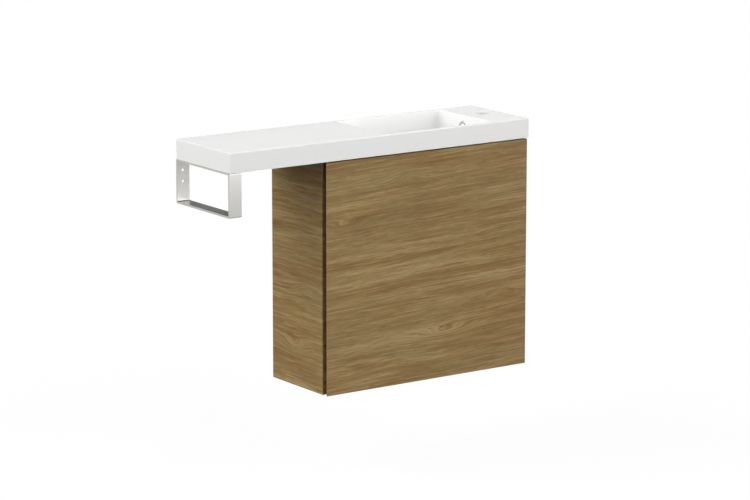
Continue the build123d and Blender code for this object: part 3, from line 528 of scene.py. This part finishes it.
def make_smooth_tree():
    tree, given = start_tree("smooth_skin", {"Crisp angle": CRISP_ANGLE})
    merged = add_node(tree, "GeometryNodeMergeByDistance", inputs={
        "Geometry": given["Geometry"], "Distance": MERGE_DISTANCE,
    })
    smooth = add_node(tree, "GeometryNodeSetShadeSmooth", {"domain": "FACE"}, {
        "Geometry": merged.outputs["Geometry"], "Shade Smooth": True,
    })
    angle = add_node(tree, "GeometryNodeInputMeshEdgeAngle")
    sharp = add_node(tree, "FunctionNodeCompare", {"data_type": "FLOAT", "operation": "GREATER_THAN"}, {
        "A": angle.outputs["Unsigned Angle"], "B": given["Crisp angle"],
    })
    crisp = add_node(tree, "GeometryNodeSetShadeSmooth", {"domain": "EDGE"}, {
        "Geometry": smooth.outputs["Geometry"], "Selection": sharp.outputs["Result"], "Shade Smooth": False,
    })
    add_node(tree, "NodeGroupOutput", inputs={"Geometry": crisp.outputs["Geometry"]})
    return tree


smooth_tree = make_smooth_tree()
for name in ROUND_NODES:
    nodes[name].modifiers.new("smooth_skin", "NODES").node_group = smooth_tree
print("pieces with a smooth skin:", len(ROUND_NODES))

# %% [markdown]
# Union nuts are turned by hand, so their rims carry round ribs. A tree sets thin rods on a circle and
# lets them sink halfway into the nut. The trap's nut and cup stand upright; the outlet nut lies along
# the pipe, so its ribs are turned to match.

# %% Grip ribs on the nuts
RIB_WIDTH = 0.0024
RIB_SINK = 0.0004
RIB_FACES = 10
GRIPPED_NUTS = [
    ("trap_nut", 30, 0.12, 0.88, 0.0),
    ("trap_cup", 36, 0.55, 0.95, 0.0),
    ("trap_outlet_nut", 26, 0.15, 0.85, math.pi / 2),
]


def make_rib_tree():
    tree, given = start_tree("ribs_on_a_circle", {
        "Count": 24, "Radius": 0.03, "Length": 0.01, "Width": RIB_WIDTH,
    })
    circle = add_node(tree, "GeometryNodeMeshCircle", inputs={
        "Vertices": given["Count"], "Radius": given["Radius"],
    })
    half = maths(tree, "MULTIPLY", given["Width"], 0.5)
    rod = add_node(tree, "GeometryNodeMeshCylinder", inputs={
        "Vertices": RIB_FACES, "Radius": half, "Depth": given["Length"],
    })
    ribs = add_node(tree, "GeometryNodeInstanceOnPoints", inputs={
        "Points": circle.outputs["Mesh"], "Instance": rod.outputs["Mesh"],
    })
    return end_tree(tree, given, ribs.outputs["Instances"])


def ribs_for(node, count, from_share, to_share, turn):
    low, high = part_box(node)
    low, high = Vector(low), Vector(high)
    centre = middle_of(low, high)
    axis = 1 if turn else 2
    radius = (high.x - low.x) / 2 - RIB_SINK
    span = high[axis] - low[axis]
    centre[axis] = low[axis] + span * (from_share + to_share) / 2
    mesh = grow(rib_tree, white_plastic, count=count, radius=radius,
                length=span * (to_share - from_share), width=RIB_WIDTH)
    return mesh, Matrix.Translation(centre) @ Matrix.Rotation(turn, 4, "X")


rib_tree = make_rib_tree()
nut_ribs = add_piece("nut_grip_ribs", [ribs_for(*nut) for nut in GRIPPED_NUTS],
                     "cabinet", white_plastic)
print("triangles in the grip ribs:", sum(len(face.vertices) - 2 for face in nut_ribs.data.polygons))

# %% [markdown]
# The overflow hose is corrugated where it bends, so that it can turn tightly without a kink. The drawn
# hose is a plain tube, and rings are set along its bend, square to the bend's line.

# %% Rings on the overflow hose
HOSE_RINGS = 11
HOSE_RING_THICKNESS = 0.0011
HOSE_RING_STEPS = 40
HOSE_RING_FACES = 8
HOSE_BEND = 0.024


def make_ring_tree():
    tree, given = start_tree("rings_on_an_arc", {
        "Count": HOSE_RINGS, "Bend": HOSE_BEND, "Radius": 0.01,
        "Thickness": HOSE_RING_THICKNESS, "Sweep": math.pi / 2,
    })
    arc = add_node(tree, "GeometryNodeCurveArc", inputs={
        "Resolution": given["Count"], "Radius": given["Bend"], "Start Angle": 0.0,
        "Sweep Angle": given["Sweep"],
    })
    tangent = add_node(tree, "GeometryNodeInputTangent")
    turn = add_node(tree, "FunctionNodeAlignRotationToVector", {"axis": "Z"}, {
        "Vector": tangent.outputs["Tangent"],
    })
    circle = add_node(tree, "GeometryNodeCurvePrimitiveCircle", inputs={
        "Resolution": HOSE_RING_STEPS, "Radius": given["Radius"],
    })
    profile = add_node(tree, "GeometryNodeCurvePrimitiveCircle", inputs={
        "Resolution": HOSE_RING_FACES, "Radius": given["Thickness"],
    })
    ring = add_node(tree, "GeometryNodeCurveToMesh", inputs={
        "Curve": circle.outputs["Curve"], "Profile Curve": profile.outputs["Curve"],
    })
    rings = add_node(tree, "GeometryNodeInstanceOnPoints", inputs={
        "Points": arc.outputs["Curve"], "Instance": ring.outputs["Mesh"],
        "Rotation": turn.outputs["Rotation"],
    })
    return end_tree(tree, given, rings.outputs["Instances"])


def place_hose_rings():
    low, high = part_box("overflow_hose")
    radius = (high[1] - low[1]) / 2
    bend_centre = Vector((high[0] - radius - HOSE_BEND, low[1] + radius, low[2] + radius + HOSE_BEND))
    mesh = grow(make_ring_tree(), grey_plastic, count=HOSE_RINGS, bend=HOSE_BEND, radius=radius,
                thickness=HOSE_RING_THICKNESS, sweep=math.pi / 2)
    upright = Matrix.Rotation(-math.pi / 2, 4, "X")
    return mesh, Matrix.Translation(bend_centre) @ upright


add_piece("hose_rings", [place_hose_rings()], "cabinet", grey_plastic)
print("hose rings:", HOSE_RINGS)

# %% [markdown]
# Inside the overflow's chrome ring sits a white dished sleeve that leads to the hole, so from the
# camera the ring reads as a dark arc over a pale middle. The sleeve is a short profile turned about
# the hole's axis, and it covers the inner part of the drawn ring's face.

# %% Sleeve in the overflow ring
SLEEVE_OUTER = 0.0125
SLEEVE_INNER = 0.0090
SLEEVE_PROUD = 0.0005
SLEEVE_DISH = 0.0016
SLEEVE_STEPS = 72


def turn_about_x(profile, centre, steps):
    shape = bmesh.new()
    rings = []
    for step in range(steps):
        angle = 2 * math.pi * step / steps
        outward = Vector((0.0, math.cos(angle), math.sin(angle)))
        rings.append([
            shape.verts.new(centre + radius * outward + Vector((along, 0.0, 0.0)))
            for along, radius in profile
        ])
    for step in range(steps):
        here, after = rings[step], rings[(step + 1) % steps]
        for index in range(len(profile)):
            other = (index + 1) % len(profile)
            face = shape.faces.new((here[index], here[other], after[other], after[index]))
            face.smooth = True
    mesh = bpy.data.meshes.new("turned")
    shape.to_mesh(mesh)
    shape.free()
    return mesh


def make_overflow_sleeve():
    low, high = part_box("overflow_ring")
    centre = middle_of(low, high)
    centre.x = low[0]
    profile = [
        (-SLEEVE_PROUD, SLEEVE_OUTER - SLEEVE_PROUD),
        (0.0, SLEEVE_OUTER),
        (SLEEVE_DISH, SLEEVE_OUTER),
        (SLEEVE_DISH + SLEEVE_PROUD, SLEEVE_INNER),
        (0.0, SLEEVE_INNER),
        (-SLEEVE_PROUD, SLEEVE_INNER + SLEEVE_PROUD),
    ]
    mesh = turn_about_x(profile, centre, SLEEVE_STEPS)
    return add_piece("overflow_sleeve", [(mesh, Matrix.Identity(4))],
                     "cabinet", white_plastic)


make_overflow_sleeve()
print("sleeve inner width in mm:", 2000 * SLEEVE_INNER)

# %% [markdown]
# The thin back is pinned to the rear rails from inside. A tree lays a row of small domed heads, and
# two rows stand on the back's front face, one for each rail.

# %% Pins in the back panel
PIN_HEAD = 0.0032
PIN_DOME = 0.35
PIN_SEGMENTS = 20
PIN_RINGS = 10
PINS_IN_ROW = 7
PIN_ROW_MARGIN = 0.050
PIN_ROW_DROP = 0.014


def make_pin_tree():
    tree, given = start_tree("row_of_pins", {
        "Count": PINS_IN_ROW, "Span": 0.5, "Radius": PIN_HEAD, "Dome": PIN_DOME,
    })
    row = add_node(tree, "GeometryNodeMeshGrid", inputs={
        "Size X": given["Span"], "Size Y": 0.0, "Vertices X": given["Count"], "Vertices Y": 1,
    })
    ball = add_node(tree, "GeometryNodeMeshUVSphere", inputs={
        "Segments": PIN_SEGMENTS, "Rings": PIN_RINGS, "Radius": given["Radius"],
    })
    flat = add_node(tree, "ShaderNodeCombineXYZ", inputs={"X": 1.0, "Y": given["Dome"], "Z": 1.0})
    head = add_node(tree, "GeometryNodeTransform", inputs={
        "Geometry": ball.outputs["Mesh"], "Scale": flat.outputs["Vector"],
    })
    pins = add_node(tree, "GeometryNodeInstanceOnPoints", inputs={
        "Points": row.outputs["Mesh"], "Instance": head.outputs["Geometry"],
    })
    return end_tree(tree, given, pins.outputs["Instances"])


def place_pin_row(tree, level):
    low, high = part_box("back_panel")
    span = high[0] - low[0] - 2 * PIN_ROW_MARGIN
    mesh = grow(tree, zinc, count=PINS_IN_ROW, span=span, radius=PIN_HEAD, dome=PIN_DOME)
    return mesh, Matrix.Translation(((low[0] + high[0]) / 2, low[1], level))


pin_tree = make_pin_tree()
rail_levels = [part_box(name)[1][2] - PIN_ROW_DROP for name in ("rear_rail_upper", "rear_rail_lower")]
add_piece("back_panel_pins", [place_pin_row(pin_tree, level) for level in rail_levels],
          "cabinet", zinc)
print("pins in the back:", 2 * PINS_IN_ROW)

# %% [markdown]
# The studio. A pale floor catches a soft shadow, and everything the camera, a gloss or a clear piece
# sees beyond it is white, which is how such a piece is photographed for a catalogue. The soft light
# itself is dimmer than that white: one wide lamp on the left, a second in front, and a small faint
# one high on the right that picks out the top's edges. A dark card stands close behind the unit for
# its reflections only, so that the level faces of the metal read dark against the white.

# %% Stage and light
FLOOR_DROP = 0.87
FLOOR_SIZE = 60.0
SURROUND_LIGHT = 0.15
LEFT_FROM = (-0.845, 0.20, 0.50)
LEFT_LIGHT = 1.07
LEFT_SPREAD = 58.0
FRONT_FROM = (0.26, -0.95, 0.19)
FRONT_LIGHT = 1.24
FRONT_SPREAD = 72.0
EDGE_FROM = (0.557, -0.205, 0.805)
EDGE_LIGHT = 0.10
SMALL_LAMP = 14.0
FLOOR_BOUNCE = linear("#606060")
FLOOR_SEEN = linear("#fafafa")
FLOOR_GLOW = 0.93
FLAG_LEFT = -0.58
FLAG_RIGHT = 0.10
FLAG_BACK = 0.30
FLAG_TOP = 0.10
FLAG_BLACK = linear("#262626")


def seen_by_eye_or_gloss(tree):
    path = add_node(tree, "ShaderNodeLightPath")
    seen = maths(tree, "MAXIMUM", path.outputs["Is Camera Ray"], path.outputs["Is Glossy Ray"])
    return maths(tree, "MAXIMUM", seen, path.outputs["Is Transmission Ray"])


def make_floor_finish():
    material = bpy.data.materials.new("studio_floor_paint")
    tree = empty_tree(material)
    seen = seen_by_eye_or_gloss(tree)
    grey = mix_colours(tree, seen, FLOOR_BOUNCE, FLOOR_SEEN)
    paint = add_node(tree, "ShaderNodeBsdfDiffuse", inputs={"Color": grey})
    white = add_node(tree, "ShaderNodeEmission", inputs={"Color": WHITE, "Strength": 1.0})
    share = maths(tree, "MULTIPLY", seen, FLOOR_GLOW)
    blend = add_node(tree, "ShaderNodeMixShader", inputs={"Fac": share})
    tree.links.new(paint.outputs["BSDF"], blend.inputs[1])
    tree.links.new(white.outputs["Emission"], blend.inputs[2])
    add_node(tree, "ShaderNodeOutputMaterial", inputs={"Surface": blend.outputs["Shader"]})
    return material


def add_card(name, corners, material):
    mesh = bpy.data.meshes.new(name)
    mesh.from_pydata(corners, [], [(0, 1, 2, 3)])
    mesh.materials.append(material)
    card = bpy.data.objects.new(name, mesh)
    bpy.context.scene.collection.objects.link(card)
    return card


def add_floor():
    half = FLOOR_SIZE / 2
    level = cad_high.z - FLOOR_DROP
    corners = [(-half, -half, level), (half, -half, level), (half, half, level), (-half, half, level)]
    floor = add_card("floor", corners, make_floor_finish())


def add_black_flag():
    low = cad_high.z - FLOOR_DROP
    corners = [(x, FLAG_BACK, z) for x, z in (
        (FLAG_LEFT, low), (FLAG_RIGHT, low), (FLAG_RIGHT, FLAG_TOP), (FLAG_LEFT, FLAG_TOP),
    )]
    material, _, shader = new_material("black_felt")
    shader.inputs["Base Color"].default_value = FLAG_BLACK
    shader.inputs["Roughness"].default_value = 1.0
    flag = add_card("black_flag", corners, material)
    flag.visible_camera = False
    flag.visible_diffuse = False
    flag.visible_shadow = False
    flag.visible_transmission = False


def light_surroundings():
    world = bpy.data.worlds.new("studio")
    tree = empty_tree(world)
    seen = seen_by_eye_or_gloss(tree)
    strength = maths(tree, "MULTIPLY_ADD", seen, 1.0 - SURROUND_LIGHT, SURROUND_LIGHT)
    back = add_node(tree, "ShaderNodeBackground", inputs={"Color": WHITE, "Strength": strength})
    add_node(tree, "ShaderNodeOutputWorld", inputs={"Surface": back.outputs["Background"]})
    bpy.context.scene.world = world


def add_sun(name, towards, light, spread):
    lamp_data = bpy.data.lights.new(name, "SUN")
    lamp_data.energy = light * math.pi
    lamp_data.angle = math.radians(spread)
    lamp = bpy.data.objects.new(name, lamp_data)
    lamp.rotation_euler = Vector(towards).to_track_quat("Z", "Y").to_euler()
    bpy.context.scene.collection.objects.link(lamp)


add_floor()
light_surroundings()
add_black_flag()
add_sun("left_softbox", LEFT_FROM, LEFT_LIGHT, LEFT_SPREAD)
add_sun("front_softbox", FRONT_FROM, FRONT_LIGHT, FRONT_SPREAD)
add_sun("edge_lamp", EDGE_FROM, EDGE_LIGHT, SMALL_LAMP)
bpy.context.scene.view_settings.view_transform = "Standard"
print("floor at", round(cad_high.z - FLOOR_DROP, 3))
